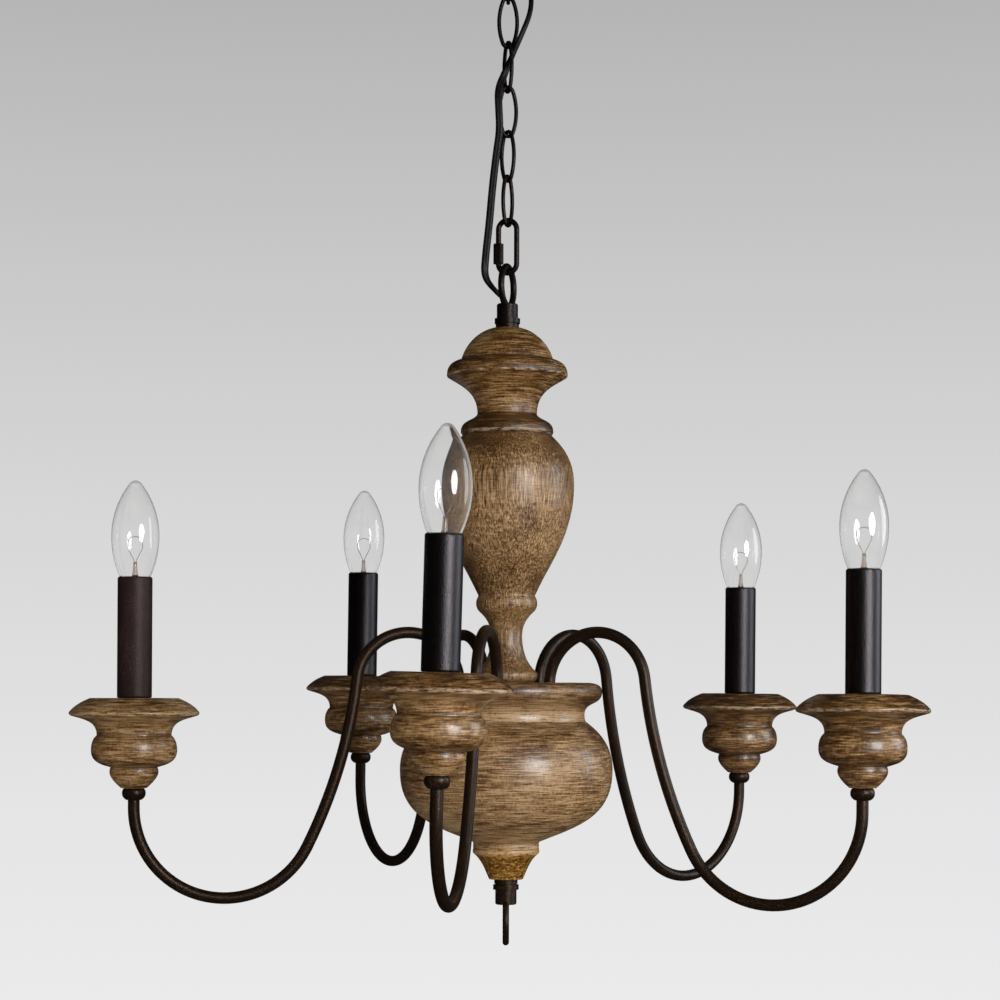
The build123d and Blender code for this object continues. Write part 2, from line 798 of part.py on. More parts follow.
def inner_wiring():
    """Wires in the arms with their connectors in the bowl, and the lead inside the rod."""
    pieces = []
    for i, angle in enumerate(arm_angles()):
        path = arm_path(i)
        tail = Line(at(arm_root_r, arm_end_z - wire_tail), at(arm_root_r, arm_end_z))
        wire = tube(Wire([tail, *path.edges()]), arm_wire_d)
        top = arm_end_z - wire_tail
        connector = rod_through(connector_d / 2, top, top - connector_length)
        pieces.append(Rot(0, 0, angle) * wire)
        pieces.append(Rot(0, 0, angle) * Pos(arm_root_r, 0, 0) * connector)
    pieces.append(rod_through(cord_d / 2, cord_route[-1][2], plate_z))
    return pieces


def centre_rod():
    """Threaded tube that clamps the column between the two loops, with a window for the wires."""
    top = top_base_z - loop_base_height + loop_thread_depth
    rod = threaded_tube(top, bottom_base_z + loop_base_height - loop_thread_depth)
    window_z = bowl_z - rod_window_d
    window = Pos(rod_d / 2, 0, window_z) * Rot(0, 90, 0) * Cylinder(rod_window_d / 2, rod_d)
    return rod - window


def main():
    """Make every piece and write one file for each node."""
    os.makedirs("parts", exist_ok=True)
    nodes = {}
    nodes["ceiling_canopy"] = canopy()
    nodes["crossbar"] = crossbar()
    nodes["canopy_nipple"] = threaded_tube(0, canopy_base_z + loop_base_height - loop_thread_depth)
    nodes["canopy_collar"] = collar(canopy_bottom, False)
    nodes["canopy_loop"] = loop_fitting(canopy_base_z, False, canopy_loop_turn)
    for i, turn in enumerate(link_turns):
        nodes[f"chain_link_{i + 1}"] = chain_link(first_link_z - i * link_pitch, turn)
    nodes["quick_link"] = quick_link()
    nodes["quick_link_nut"] = quick_nut()
    nodes["supply_cord"] = supply_cord()
    nodes["top_loop"] = loop_fitting(top_base_z, True, top_loop_turn)
    nodes["top_collar"] = collar(cap_z, True)
    nodes["column_cap"] = column_cap()
    nodes["urn"] = urn()
    nodes["bowl_lid"] = bowl_lid()
    nodes["bowl"] = bowl()
    nodes["finial"] = finial()
    nodes["centre_rod"] = centre_rod()
    nodes["arm_plate"] = arm_plate()
    nodes["lamp_nuts"] = Compound(children=lamp_nuts())
    nodes["bottom_collar"] = collar(finial_foot_z, False)
    nodes["bottom_loop"] = loop_fitting(bottom_base_z, False, bottom_loop_turn)
    nodes["inner_wiring"] = Compound(children=inner_wiring())

    cup_shape = cup()
    sleeve_shape = candle_sleeve()
    glass_shape = bulb_glass()
    beads = []
    sockets = []
    for i, angle in enumerate(arm_angles()):
        place = light_place(i)
        nodes[f"arm_{i + 1}"] = Rot(0, 0, angle) * tube(arm_path(i), arm_d, arm_bore_d)
        nodes[f"cup_{i + 1}"] = place * cup_shape
        nodes[f"candle_sleeve_{i + 1}"] = place * sleeve_shape
        nodes[f"bulb_glass_{i + 1}"] = place * glass_shape
        nodes[f"bulb_base_{i + 1}"] = place * bulb_base()
        nodes[f"bulb_filament_{i + 1}"] = place * Rot(0, 0, -angle) * bulb_filament()
        beads.append(place * Pos(0, 0, -cup_height) * seat_bead())
        sockets.append(place * lamp_socket())
    nodes["seat_beads"] = Compound(children=beads)
    nodes["lamp_sockets"] = Compound(children=sockets)

    for name, shape in nodes.items():
        export_step(shape, f"parts/{name}.step")
    print(len(nodes), "nodes")


main()
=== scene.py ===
# %% [markdown]
# # A turned wooden chandelier
# The lamp hangs from a ceiling canopy by a chain of oval wire links, laced with a flat two-core lead.
# Its column is turned from wood, and five bent metal arms carry wooden cups, dark candle sleeves and
# clear candle bulbs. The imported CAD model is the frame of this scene: its pieces already hang in the
# right place, in metres, so each step below gives a piece its finish or puts a finer piece over it.

# %% Load the frame
import json
import math

import bpy
import numpy as np
from mathutils import Matrix, Vector


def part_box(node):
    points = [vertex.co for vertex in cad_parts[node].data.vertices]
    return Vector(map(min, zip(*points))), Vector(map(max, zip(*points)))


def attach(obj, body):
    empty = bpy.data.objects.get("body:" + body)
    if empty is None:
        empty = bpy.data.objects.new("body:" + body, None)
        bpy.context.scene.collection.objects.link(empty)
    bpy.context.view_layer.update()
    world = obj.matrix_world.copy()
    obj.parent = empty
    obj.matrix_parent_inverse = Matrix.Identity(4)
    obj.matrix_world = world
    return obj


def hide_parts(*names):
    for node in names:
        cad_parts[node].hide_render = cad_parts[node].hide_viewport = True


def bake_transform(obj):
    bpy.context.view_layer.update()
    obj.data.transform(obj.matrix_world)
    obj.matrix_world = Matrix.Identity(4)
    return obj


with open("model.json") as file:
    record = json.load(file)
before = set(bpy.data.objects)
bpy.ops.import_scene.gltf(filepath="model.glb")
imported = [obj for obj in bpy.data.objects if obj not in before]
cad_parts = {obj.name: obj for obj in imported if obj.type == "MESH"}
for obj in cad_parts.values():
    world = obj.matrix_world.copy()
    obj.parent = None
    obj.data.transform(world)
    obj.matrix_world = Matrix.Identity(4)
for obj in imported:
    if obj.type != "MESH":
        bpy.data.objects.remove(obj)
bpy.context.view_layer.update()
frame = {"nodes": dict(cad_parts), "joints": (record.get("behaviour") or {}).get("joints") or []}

MM = 0.001
nodes = frame["nodes"]
LIGHTS = range(1, 6)

# %% [markdown]
# ## The camera
# The photographer stood level with the lid of the bowl and used a long lens, so the five cups look
# almost flat. Looking straight ahead keeps the candles upright. The lamp then sits high in the
# picture, and a lens shift with a very small tilt brings it into the frame without bending it.

# %% Camera
camera_data = bpy.data.cameras.new("camera")
camera_data.lens = 85.31
camera_data.sensor_width = 36.0
camera_data.shift_x = -0.0064
camera_data.shift_y = 0.1402
camera = bpy.data.objects.new("camera", camera_data)
camera.location = (0.0, -1.7644, -0.6141)
TILT = 1.2  # degrees up from level
ROLL = -0.15
camera.rotation_euler = (math.radians(90 + TILT), math.radians(ROLL), 0.0)
bpy.context.scene.collection.objects.link(camera)
bpy.context.scene.camera = camera
bpy.context.scene.view_settings.view_transform = "Standard"
print("camera lens", camera_data.lens)

# %% [markdown]
# ## Node helpers
# Every finish and every built form here is a node tree. A few small helpers keep them readable: one
# adds a node and sets its options, one joins an output to an input or sets the input's value, and the
# rest are short names for the nodes that most finishes need.


# %% Node helpers
def add(tree, kind, inputs=None, **options):
    """A new node with its options set and its inputs joined or filled."""
    node = tree.nodes.new(kind)
    for name, value in options.items():
        setattr(node, name, value)
    for name, value in (inputs or {}).items():
        feed(tree, node, name, value)
    return node


def feed(tree, node, name, value):
    """Joins an output socket to an input, or writes a plain value into it."""
    socket = node.inputs[name]
    if isinstance(value, bpy.types.NodeSocket):
        tree.links.new(value, socket)
    else:
        socket.default_value = value


def math_node(tree, operation, *values, clamp=False):
    """A Math node with up to three inputs. Gives its output."""
    node = add(tree, "ShaderNodeMath", operation=operation, use_clamp=clamp)
    for i, value in enumerate(values):
        feed(tree, node, i, value)
    return node.outputs[0]


def ramp(tree, factor, *stops):
    """A colour ramp from (position, colour) stops. A plain number stands for a grey."""
    node = add(tree, "ShaderNodeValToRGB", {"Fac": factor})
    marks = node.color_ramp.elements
    while len(marks) < len(stops):
        marks.new(0.5)
    for mark, (position, colour) in zip(marks, stops):
        grey = isinstance(colour, (int, float))
        mark.position = position
        mark.color = (colour, colour, colour, 1) if grey else (*colour, 1)
    return node.outputs["Color"]


def mix(tree, factor, a, b):
    """Mixes two colours. Gives the mixed colour."""
    node = add(tree, "ShaderNodeMix", data_type="RGBA")
    feed(tree, node, 0, factor)
    for socket, colour in ((6, a), (7, b)):
        feed(tree, node, socket, colour if isinstance(colour, bpy.types.NodeSocket) else (*colour, 1))
    return node.outputs[2]


def noise(tree, place, scale, detail, roughness):
    """A noise texture. Gives its value."""
    given = {"Vector": place, "Scale": scale, "Detail": detail, "Roughness": roughness}
    return add(tree, "ShaderNodeTexNoise", given).outputs["Fac"]


def spread(tree, value, low, high, start, end):
    """Maps a value between two limits to another range. Gives the mapped value."""
    given = {"Value": value, "From Min": low, "From Max": high, "To Min": start, "To Max": end}
    return add(tree, "ShaderNodeMapRange", given).outputs[0]


def new_finish(name):
    """A material with its node tree and its surface shader."""
    finish = bpy.data.materials.new(name)
    finish.use_nodes = True
    return finish, finish.node_tree, finish.node_tree.nodes["Principled BSDF"]


# %% [markdown]
# ## Studio
# A hanging lamp is photographed in front of a plain backdrop that is lighter at the bottom. The world
# gives that backdrop by the height of the ray, to the camera and through glass. Reflections see a dim
# room instead, so the dark metal stays dark. One large round softbox to the right of the camera makes
# the light sides and the highlights, and a weak cool one further round draws the sheen on towards the
# right edges. A weak one to its left opens the shadows without a highlight of its own, one behind lights
# the rear, and a pale warm floor lies well below, out of the camera's view.
#
# Seen from behind, a clear bulb would show a softbox as a white disc, so glass doesn't see the lamps.
# What the far wall of a bulb throws back of the key belongs to its look, though. Leaving the key visible
# to glass would bring the disc back, so a second lamp just in front of the key gives this glint alone:
# it shows only through glass, and its strength is zero until the ray has been reflected once.

# %% Backdrop and floor
world = bpy.data.worlds.new("studio")
bpy.context.scene.world = world
world.use_nodes = True
sky = world.node_tree
sky.nodes.clear()
ROOM = 0.15  # light of the room on dull surfaces
ROOM_SHINE = 0.015  # and in reflections
direction = add(sky, "ShaderNodeTexCoord").outputs["Generated"]
heading = add(sky, "ShaderNodeSeparateXYZ", {0: direction}).outputs
backdrop = ramp(
    sky, spread(sky, heading["Z"], -0.14, 0.30, 0.0, 1.0),
    (0.0, 0.835), (0.2, 0.785), (0.36, 0.725), (0.5, 0.672), (0.7, 0.585), (1.0, 0.44),
)
ray = add(sky, "ShaderNodeLightPath").outputs
seen = math_node(sky, "MAXIMUM", ray["Is Camera Ray"], ray["Is Transmission Ray"])
dim = math_node(sky, "MULTIPLY_ADD", ray["Is Glossy Ray"], ROOM_SHINE - ROOM, ROOM)
shown = add(sky, "ShaderNodeBackground", {"Color": backdrop, "Strength": 1.0})
room = add(sky, "ShaderNodeBackground", {"Color": (0.95, 0.97, 1.0, 1), "Strength": dim})
both = add(sky, "ShaderNodeMixShader", {0: seen, 1: room.outputs[0], 2: shown.outputs[0]})
add(sky, "ShaderNodeOutputWorld", {"Surface": both.outputs[0]})

FLOOR_R = 3.2
FLOOR_Z = -1.3
bpy.ops.mesh.primitive_circle_add(vertices=96, radius=FLOOR_R, fill_type="TRIFAN", location=(0, 0, FLOOR_Z))
floor = bpy.context.object
floor.name = "floor"
floor.visible_glossy = False
floor_finish, tree, surface = new_finish("pale_floor")
surface.inputs["Base Color"].default_value = (0.78, 0.73, 0.67, 1)
surface.inputs["Roughness"].default_value = 0.85
place = add(tree, "ShaderNodeTexCoord").outputs["Object"]
away = add(tree, "ShaderNodeVectorMath", {0: place}, operation="LENGTH").outputs["Value"]
feed(tree, surface, "Alpha", spread(tree, away, 1.4, 3.1, 1.0, 0.0))
floor.data.materials.append(floor_finish)
print("floor radius", FLOOR_R, "height", FLOOR_Z)


# %% Softboxes
def softbox(name, place, aim, width, tall, power, colour):
    """A round area lamp at a place, turned to look at a point."""
    lamp = bpy.data.lights.new(name, "AREA")
    lamp.shape = "ELLIPSE"
    lamp.size = width
    lamp.size_y = tall
    lamp.energy = power
    lamp.color = colour
    box = bpy.data.objects.new(name, lamp)
    box.location = place
    box.rotation_euler = (Vector(aim) - Vector(place)).to_track_quat("-Z", "Y").to_euler()
    bpy.context.scene.collection.objects.link(box)
    return box


lamp_middle = (0.0, 0.0, -0.6)
GLINT_NEAR = 0.99  # share of the key's distance
key_place = Vector((1.15, -1.75, -0.25))
key_setup = (lamp_middle, 1.0, 0.9, 38.0, (1.0, 0.98, 0.97))
key = softbox("key_softbox", key_place, *key_setup)
glint = softbox("glint_softbox", key_place * GLINT_NEAR, *key_setup)
key.visible_transmission = False
glint.visible_diffuse = glint.visible_glossy = False
glint.data.use_nodes = True
tree = glint.data.node_tree
thrown_back = math_node(tree, "MINIMUM", add(tree, "ShaderNodeLightPath").outputs["Glossy Depth"], 1.0)
feed(tree, tree.nodes["Emission"], "Strength", thrown_back)
side = softbox("side_softbox", (2.0, 0.1, -0.2), lamp_middle, 1.0, 1.3, 15.0, (0.86, 0.93, 1.0))
side.visible_transmission = False
fill = softbox("fill_softbox", (-1.3, -1.8, -0.5), lamp_middle, 1.0, 1.0, 9.0, (1.0, 0.98, 0.96))
fill.visible_glossy = fill.visible_transmission = False
rear = softbox("rear_softbox", (0.5, 1.9, 0.5), lamp_middle, 1.4, 1.0, 16.0, (1.0, 0.99, 0.97))
rear.visible_glossy = rear.visible_transmission = False

# %% [markdown]
# ## Dark bronze metal
# Arms and beads have a nearly black satin paint with a warm speckle, as if bronze showed through where
# hands rubbed it. The chain and the candle sleeves are blacker, and one sleeve is dusty. A plain dark
# colour would look like plastic, so one noise spreads the speckle unevenly, a fine one makes its grains,
# and the same grains roughen the coat, so that a highlight breaks up into dots. One function with a few
# settings makes all four finishes.


# %% Dark bronze
def dark_metal(name, coat, glow, shine, gloss, grain):
    """Nearly black paint with a warm speckle and an uneven satin gloss."""
    finish, tree, surface = new_finish(name)
    place = add(tree, "ShaderNodeTexCoord").outputs["Object"]
    cloud = noise(tree, place, 38.0, 4.0, 0.6)
    speck = noise(tree, place, grain, 2.0, 0.6)
    worn = ramp(tree, cloud, (0.42, 0.0), (0.72, 1.0))
    dots = ramp(tree, speck, (0.52, 0.0), (0.68, 1.0))
    rub = math_node(tree, "MULTIPLY", worn, dots, clamp=True)
    rub = math_node(tree, "MULTIPLY_ADD", rub, 0.75, math_node(tree, "MULTIPLY", dots, 0.22), clamp=True)
    feed(tree, surface, "Base Color", mix(tree, rub, coat, glow))
    feed(tree, surface, "Roughness", spread(tree, speck, 0.25, 0.75, gloss - 0.08, gloss + 0.12))
    bump = add(tree, "ShaderNodeBump", {"Height": speck, "Strength": 0.7, "Distance": 0.0003})
    feed(tree, surface, "Normal", bump.outputs[0])
    surface.inputs["Specular Tint"].default_value = (*shine, 1)
    return finish


bronze = dark_metal("dark_bronze", coat=(0.008, 0.0045, 0.0026), glow=(0.050, 0.025, 0.012),
                    shine=(0.62, 0.47, 0.38), gloss=0.34, grain=900.0)
chain_black = dark_metal("chain_black", coat=(0.002, 0.0013, 0.001), glow=(0.018, 0.010, 0.006),
                         shine=(0.40, 0.34, 0.30), gloss=0.36, grain=900.0)
sleeve_black = dark_metal("sleeve_black", coat=(0.0012, 0.0005, 0.0004), glow=(0.012, 0.005, 0.004),
                          shine=(0.98, 0.93, 1.0), gloss=0.33, grain=1100.0)
sleeve_dusty = dark_metal("sleeve_dusty", coat=(0.020, 0.010, 0.009), glow=(0.110, 0.068, 0.060),
                          shine=(0.50, 0.44, 0.47), gloss=0.40, grain=1500.0)
print("dark finishes", [finish.name for finish in (bronze, chain_black, sleeve_black, sleeve_dusty)])

# %% [markdown]
# ## Steel, brass and painting
# The hardware inside is plated steel, the bulbs' screw bases are brass and their filaments are drawn
# wire. All three are bare metal, so one function gives them fine drawn lines. A CAD piece whose shape is
# right needs no new mesh: its finish goes straight into the piece's material slot.


# %% Steel, brass and painting
def steel_finish(name, colour, gloss):
    """Bare metal with faint drawn lines."""
    finish, tree, surface = new_finish(name)
    place = add(tree, "ShaderNodeTexCoord").outputs["Object"]
    lines = add(tree, "ShaderNodeMapping", {"Vector": place, "Scale": (40.0, 900.0, 900.0)})
    drawn = noise(tree, lines.outputs[0], 1.0, 3.0, 0.5)
    tone = ramp(tree, drawn, (0.3, tuple(c * 0.75 for c in colour)), (0.7, colour))
    feed(tree, surface, "Base Color", tone)
    surface.inputs["Metallic"].default_value = 1.0
    surface.inputs["Roughness"].default_value = gloss
    return finish


plated = steel_finish("plated_steel", (0.60, 0.59, 0.56), 0.34)
shell_brass = steel_finish("bulb_brass", (0.62, 0.47, 0.22), 0.28)
wire_steel = steel_finish("filament_wire", (0.20, 0.17, 0.15), 0.4)

METAL = ["ceiling_canopy", "canopy_collar", "seat_beads", "bottom_collar", "bottom_loop"]
METAL += [f"arm_{i}" for i in LIGHTS]
HANGING = ["canopy_loop", "top_loop", "top_collar", "quick_link", "quick_link_nut"]
HANGING += [f"chain_link_{i}" for i in range(1, 7)]
HARDWARE = ["crossbar", "canopy_nipple", "centre_rod", "arm_plate", "lamp_nuts"]


def paint(names, finish):
    """Gives CAD nodes their finish."""
    for name in names:
        mesh = nodes[name].data
        mesh.materials.clear()
        mesh.materials.append(finish)
    print("painted", len(names), finish.name)


paint(METAL, bronze)
paint(HANGING, chain_black)
paint(HARDWARE, plated)
paint([f"bulb_base_{i}" for i in LIGHTS], shell_brass)
paint([f"bulb_filament_{i}" for i in LIGHTS], wire_steel)
paint([f"candle_sleeve_{i}" for i in LIGHTS], sleeve_black)
paint(["lamp_sockets", "inner_wiring"], sleeve_black)

# %% [markdown]
# ## Waxed wood
# The turned pieces are stained a golden to deep brown and waxed to a satin shine, most on the bowl and
# the cups and least on the cap. Fine fibres run one way, round the piece for the cap, bowl and cups and
# upright for the urn, and still finer lines of the turning tool and the rubbing cross them. A picture of
# wood would show seams on a round piece, so both are noises, stretched along the grain and across it,
# and both also break up the shine. The finial shows end grain, short and speckled. Sharp creases are
# darkened with painted shade, and the sharpest edges are lightened in short dashes, by rubbed wear and
# painted glints. Bands down each piece are darker with stain and lighter with painted sheen.

# %% Wood colours
TONES = [
    (0.400, (0.026, 0.011, 0.003)), (0.467, (0.112, 0.054, 0.016)),
    (0.525, (0.252, 0.142, 0.056)), (0.590, (0.430, 0.285, 0.148)),
]  # stain by the tone of the grain
PORE = (0.020, 0.009, 0.003)
# colour of the painted shade in sharp creases
CREASE_SHADE = (0.022, 0.010, 0.003)
# colour of the pale rubbed wear and painted glints on the sharpest edges
PALE_WEAR_AND_GLINT = (0.50, 0.38, 0.25)
DASHES = (140.0, 140.0, 520.0)  # noise scales of the pale dashes, rubbed wear and painted glints, along X, Y and Z
STAIN_SHEEN_STEP = -0.075  # change of tone for one unit of stain and painted sheen


def streaks(tree, place, scales):
    """A noise with its own scale along X, Y and Z. Gives its value."""
    stretched = add(tree, "ShaderNodeMapping", {"Vector": place, "Scale": scales})
    return noise(tree, stretched.outputs[0], 1.0, 4.0, 0.7)


def stored(tree, name):
    """A value that is stored on the piece's points. Gives its output."""
    return add(tree, "ShaderNodeAttribute", attribute_name=name).outputs["Fac"]


# %% Wood finish
def waxed_wood(name, grain, across, depth, wax):
    """Stained wood with a depth of colour under a coat of wax.

    grain and across are the noise scales of its two sets of lines along X, Y and Z.
    """
    finish, tree, surface = new_finish(name)
    place = add(tree, "ShaderNodeTexCoord").outputs["Object"]
    fibre, lines, dash = (streaks(tree, place, scales) for scales in (grain, across, DASHES))
    cloud = noise(tree, place, 26.0, 4.0, 0.6)
    speck = noise(tree, place, 640.0, 2.0, 0.6)
    tone = math_node(tree, "MULTIPLY_ADD", fibre, 0.60, math_node(tree, "MULTIPLY", cloud, 0.20))
    tone = math_node(tree, "MULTIPLY_ADD", lines, 0.20, tone)
    # bands of stain and painted sheen stored down the piece
    tone = math_node(tree, "MULTIPLY_ADD", stored(tree, "stain_and_sheen"), STAIN_SHEEN_STEP, tone)
    stain_and_light = ramp(tree, tone, *TONES)
    dark = ramp(tree, speck, (0.26, 1.0), (0.31, 0.0))
    stain_and_light = mix(tree, math_node(tree, "MULTIPLY", dark, 0.7), stain_and_light, PORE)
    # painted shade: darker in sharp creases, the more the surface curves inwards
    crease_shade = ramp(tree, stored(tree, "hollow"), (0.3, 0.0), (0.8, 0.92))
    stain_and_light = mix(tree, crease_shade, stain_and_light, CREASE_SHADE)
    # pale dashes on the sharpest edges, partly rubbed wear and partly painted glints, and random pale
    # flecks
    edge = ramp(tree, stored(tree, "edge"), (0.42, 0.0), (0.95, 1.0))
    worn = math_node(tree, "MULTIPLY", edge, ramp(tree, dash, (0.47, 0.0), (0.57, 1.0)))
    fleck = math_node(tree, "MULTIPLY", ramp(tree, speck, (0.69, 0.0), (0.73, 1.0)), 0.6)
    pale = math_node(tree, "MAXIMUM", worn, fleck)
    stain_and_light = mix(tree, math_node(tree, "MULTIPLY", pale, 0.6), stain_and_light, PALE_WEAR_AND_GLINT)
    deep = add(tree, "ShaderNodeHueSaturation", {"Color": stain_and_light, "Saturation": depth})
    feed(tree, surface, "Base Color", deep.outputs[0])
    feed(tree, surface, "Roughness", spread(tree, fibre, 0.3, 0.7, 0.29, 0.46))
    surface.inputs["Coat Weight"].default_value = wax
    surface.inputs["Coat Roughness"].default_value = 0.22
    relief = math_node(tree, "ADD", fibre, lines)
    bump = add(tree, "ShaderNodeBump", {"Height": relief, "Strength": 0.7, "Distance": 0.0004})
    feed(tree, surface, "Normal", bump.outputs[0])
    return finish


ROUND_GRAIN = (60.0, 60.0, 1250.0)
ROUND_LINES = (620.0, 620.0, 300.0)
wood_cap = waxed_wood("wood_grain_cap", ROUND_GRAIN, ROUND_LINES, 1.05, 0.15)
wood_round = waxed_wood("wood_grain_round", ROUND_GRAIN, ROUND_LINES, 1.0, 0.5)
wood_upright = waxed_wood("wood_grain_upright", (1050.0, 1050.0, 60.0), (120.0, 120.0, 900.0), 1.0, 0.2)
wood_cup = waxed_wood("wood_grain_cup", (70.0, 70.0, 1000.0), (520.0, 520.0, 260.0), 1.03, 0.5)
wood_end = waxed_wood("wood_grain_end", (300.0, 300.0, 700.0), (900.0, 900.0, 500.0), 1.22, 0.4)
paint(["column_cap"], wood_cap)
paint(["bowl_lid", "bowl"], wood_round)
paint(["finial"], wood_end)
paint([f"cup_{i}" for i in LIGHTS], wood_cup)
paint(["urn"], wood_upright)

# %% [markdown]
# ## Glass
# The bulbs are clear. A transmitting shader on a shell with two walls gives the rim lines and the
# double reflections of a real bulb. The glass also takes away a little light on its way through, which
# shows only at the rim, where the way is long. The stem inside is older, brownish glass.


# %% Clear glass
def clear_glass(name, tint, gloss, density):
    """Glass that darkens with the length of the way through it."""
    finish, tree, surface = new_finish(name)
    surface.inputs["Base Color"].default_value = (*tint, 1)
    surface.inputs["Roughness"].default_value = gloss
    surface.inputs["IOR"].default_value = 1.46
    surface.inputs["Transmission Weight"].default_value = 1.0
    inside = add(tree, "ShaderNodeVolumeAbsorption", {"Color": (0.5, 0.5, 0.5, 1), "Density": density})
    feed(tree, tree.nodes["Material Output"], "Volume", inside.outputs[0])
    return finish


glass = clear_glass("clear_glass", (1.0, 1.0, 1.0), 0.0, 60.0)
stem_glass = clear_glass("stem_glass", (0.62, 0.50, 0.40), 0.12, 120.0)
paint([f"bulb_glass_{i}" for i in LIGHTS], glass)

# %% [markdown]
# ## Turning on the lathe
# A turner cuts one outline and the spinning block does the rest. The same happens here: each piece has
# an outline, drawn as a curve with its height along Z and its radius along X, and one node tree spins
# it. The tree lays a grid round the outline, closes its seam, and presses in shallow dents, as a
# hand-rubbed piece has them. The outlines repeat the CAD sizes, in millimetres, from the piece's top.


# %% Outlines
class Outline:
    """A closed outline of a turned piece, drawn downwards on its outside, in millimetres."""

    def __init__(self, r, z):
        self.knots = [Vector((r, z))]
        self.out = []
        self.back = []

    def cut(self, end, leave, arrive):
        """A curve to end with its two handles."""
        self.out.append(self.knots[-1] + leave)
        self.back.append(end - arrive)
        self.knots.append(end)
        return self

    def line(self, r, z):
        """A straight cut."""
        end = Vector((r, z))
        third = (end - self.knots[-1]) / 3
        return self.cut(end, third, third)

    def sweep(self, r, z, leave, arrive):
        """A flowing cut that leaves and arrives in two directions."""
        end = Vector((r, z))
        run = end - self.knots[-1]
        reach = (abs(run.x) + abs(run.y)) / 3
        handles = [Vector(way) * reach / (abs(way[0]) + abs(way[1])) for way in (leave, arrive)]
        return self.cut(end, *handles)

    def arc(self, r, z, rise):
        """A round cut that stands out from its chord by rise."""
        end = Vector((r, z))
        chord = end - self.knots[-1]
        half = 2 * math.atan(2 * rise / chord.length)
        radius = chord.length / 2 / math.sin(half)
        reach = radius * 4 / 3 * math.tan(half / 2)
        ahead = chord.normalized() * reach
        turn, unturn = math.cos(half), math.sin(half)
        leave = Vector((ahead.x * turn - ahead.y * unturn, ahead.x * unturn + ahead.y * turn))
        arrive = Vector((ahead.x * turn + ahead.y * unturn, -ahead.x * unturn + ahead.y * turn))
        return self.cut(end, leave, arrive)

    def curve(self, name):
        """The outline as a Bezier curve object in the XZ plane, in metres.

        It closes unless it ends on the axis.
        """
        closed = self.knots[-1].x > 0
        if closed and self.knots[-1] != self.knots[0]:
            self.line(*self.knots[0])
        data = bpy.data.curves.new(name, "CURVE")
        data.dimensions = "3D"
        data.resolution_u = 24
        spline = data.splines.new("BEZIER")
        count = len(self.knots) - closed
        spline.bezier_points.add(count - 1)
        spline.use_cyclic_u = closed
        for i, point in enumerate(spline.bezier_points):
            point.handle_left_type = point.handle_right_type = "FREE"
            ahead = self.out[i] if i < len(self.out) else self.knots[i]
            behind = self.back[i - 1] if i or closed else self.knots[i]
            places = {"co": self.knots[i], "handle_right": ahead, "handle_left": behind}
            for attribute, place in places.items():
                setattr(point, attribute, (place.x * MM, 0.0, place.y * MM))
        holder = bpy.data.objects.new(name, data)
        bpy.context.scene.collection.objects.link(holder)
        return holder


# %% Lathe tree
LEVEL = 0.56  # noise that leaves the surface as it is, above its middle, so that most dents go inwards


def open_tree(name, **inputs):
    """A new node tree that makes a piece from named inputs. Gives the tree and its inputs."""
    tree = bpy.data.node_groups.new(name, "GeometryNodeTree")
    for label, kind in inputs.items():
        tree.interface.new_socket(label, in_out="INPUT", socket_type=f"NodeSocket{kind}")
    tree.interface.new_socket("Piece", in_out="OUTPUT", socket_type="NodeSocketGeometry")
    return tree, add(tree, "NodeGroupInput").outputs


def close_tree(tree, shape, finish):
    """Ends a tree with smooth shading, real geometry and a finish."""
    smooth = add(tree, "GeometryNodeSetShadeSmooth", {"Geometry": shape})
    real = add(tree, "GeometryNodeRealizeInstances", {"Geometry": smooth.outputs[0]})
    painted = add(tree, "GeometryNodeSetMaterial", {"Geometry": real.outputs[0], "Material": finish})
    add(tree, "NodeGroupOutput", {"Piece": painted.outputs[0]})
    return tree


